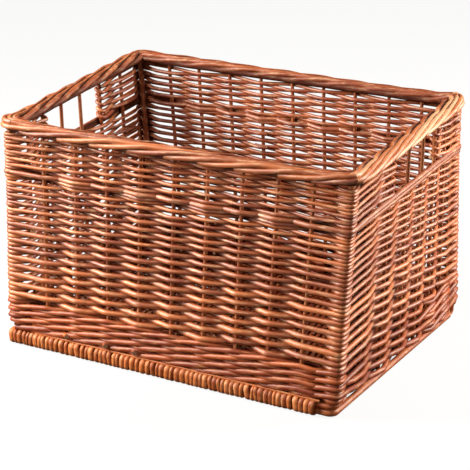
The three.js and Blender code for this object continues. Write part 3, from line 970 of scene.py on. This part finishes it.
cuts = [0, *np.searchsorted(SHARES, CORNER_SHARES), len(SHARES) - 1]
for strand in range(4):
    bundle = Bundle()
    for twin in (0, 1):
        path, shade = border_rod(strand, twin)
        for begin, end, painted_light in zip(cuts, cuts[1:], PAINTED_LIGHT_SIDES):
            thick = BORDER_ROD * chance.uniform(0.94, 1.05)
            bundle.rod(path[begin:end + 1], thick, shade=shade[begin:end + 1], painted_light=painted_light)
    bundle.piece(f"border_strand_{strand + 1}", "border")
print("border:", BORDER_TURNS, "turns of 4 strands of 2 rods")

# %% [markdown]
# ## Edge sticks
# Along the front and the back two sticks lie one above the other and carry the foot. At one end they come
# out of their binding, bend round the corner, and the lower one goes on bare under the end wall. The back
# pair is the front pair turned half round, so one function makes both.

# %% Edge sticks
EDGE_LINE = 182.0
EDGE_START, EDGE_BEND_X, EDGE_BEND_RADIUS = -236, 232, 8
EDGE_BEND_Y = EDGE_BEND_RADIUS - EDGE_LINE
EDGE_STICKS = ((6.2, 6.0, 172.0, 4.7), (15.0, 15.5, -150.0, 4.4))  # level, last level, last place, radius


def edge_sticks(node, half_turn):
    bundle = Bundle(sides=10)
    for z, end_z, end_y, radius in EDGE_STICKS:
        path = [(x, -EDGE_LINE, z) for x in np.linspace(EDGE_START, EDGE_BEND_X - 2, 40)]
        for turn in np.linspace(0, math.pi / 2, 7):
            x = EDGE_BEND_X + EDGE_BEND_RADIUS * math.sin(turn)
            path.append((x, EDGE_BEND_Y - EDGE_BEND_RADIUS * math.cos(turn), z))
        for t in np.linspace(0.04, 1, 30):
            y = EDGE_BEND_Y + (end_y - EDGE_BEND_Y) * t
            path.append((EDGE_BEND_X + EDGE_BEND_RADIUS, y, z + (end_z - z) * t))
        bundle.rod(np.array(path) * half_turn, taper(len(path), radius))
    bundle.piece(node, "base")


edge_sticks("edge_stick_front", (1, 1, 1))
edge_sticks("edge_stick_back", (-1, -1, 1))
print("edge sticks:", len(EDGE_STICKS), "at the front and as many at the back")

# %% [markdown]
# ## Bindings
# The two sticks of an edge are bound with close turns of split willow, some broad, some narrow, most of
# them touching. A helix would be one even spring, so each turn is a ring of its own, flat in section and
# a little slanted, squeezed towards a square by the two sticks inside it. A thin rod lies on top of them.

# %% Bindings
BASE_LEVEL = 10.8
TURN_RADIUS, TURN_SQUARE, TURN_UNEVEN = 9.3, 0.75, 0.2
TURN_THICKNESS = 1.9
LAST_TURN = 217
TOP_ROD_LEVEL, TOP_ROD_RADIUS = 21.4, 1.7


def binding(node, y, way, start):
    bundle = Bundle()
    x = start
    while x < LAST_TURN:
        width = chance.uniform(2.4, 4.8)
        x += width + chance.choice((-0.7, -0.7, 1.0))
        lean = chance.normal(0.8, 0.7)
        ring = []
        for turn in np.linspace(0, 2 * math.pi, 33):
            uneven = TURN_UNEVEN * math.sin(2 * turn + x)
            bulge = TURN_RADIUS + TURN_SQUARE * math.cos(4 * turn + math.pi) + uneven
            sideways, down = math.sin(turn), math.cos(turn)
            ring.append((way * (x + lean * down), y + bulge * sideways, BASE_LEVEL - bulge * down))
        bundle.rod(ring, width * 0.98, EAST, TURN_THICKNESS / width)
        x += width
    turns = len(bundle.rods)
    top_rod = [(way * x, y * 1.02, TOP_ROD_LEVEL) for x in np.linspace(-205, 222, 40)]
    bundle.rod(top_rod, TOP_ROD_RADIUS)
    bundle.piece(node, "binding")
    return turns


front_turns = binding("edge_binding_front", -EDGE_LINE, 1, -246.5)
back_turns = binding("edge_binding_back", EDGE_LINE, -1, -240.0)
print("binding turns:", front_turns, back_turns)

# %% [markdown]
# ## Floor of the basket
# The floor is woven on six sticks that run the length of the basket. Rods go across them, over one stick
# and under the next, close together. It is hardly seen from the side, but from above it is the whole of
# the inside, so it is woven like the walls and not a sheet with a picture of weave.

# %% Floor of the basket
STICK_ROWS = np.linspace(-160.1, 160.1, 6)
STICK_RADIUS, STICK_POINTS, STICK_HALF = 4.2, 24, 225
PASS_RADIUS, PASS_BULGE, PASS_POINTS, PASS_HALF = 3.0, 7.0, 37, 169
PASS_COLUMNS = np.arange(-227.7, 228, 4.6)
FLOOR_EDGE = 178

for number, y in enumerate(STICK_ROWS):
    bundle = Bundle(sides=10)
    stick = [(x, y, BASE_LEVEL) for x in np.linspace(-STICK_HALF, STICK_HALF, STICK_POINTS)]
    bundle.rod(stick, taper(STICK_POINTS, STICK_RADIUS))
    bundle.piece(f"floor_stick_{number + 1}", "base")

passes = Bundle()
between_sticks = (STICK_ROWS[1:] + STICK_ROWS[:-1]) / 2
changes = np.concatenate([[-FLOOR_EDGE], between_sticks, [FLOOR_EDGE]])
for number, x in enumerate(PASS_COLUMNS):
    path = []
    for y in np.linspace(-PASS_HALF, PASS_HALF, PASS_POINTS):
        gap = np.searchsorted(changes, y) - 1
        share = (y - changes[gap]) / (changes[gap + 1] - changes[gap])
        bulge = PASS_BULGE * math.sin(math.pi * share)
        path.append((x, y, BASE_LEVEL + (bulge if (gap + number) % 2 else -bulge)))
    passes.rod(path, taper(PASS_POINTS, PASS_RADIUS), EAST)
passes.piece("floor_weaver", "base")
print("floor passes:", len(passes.rods))
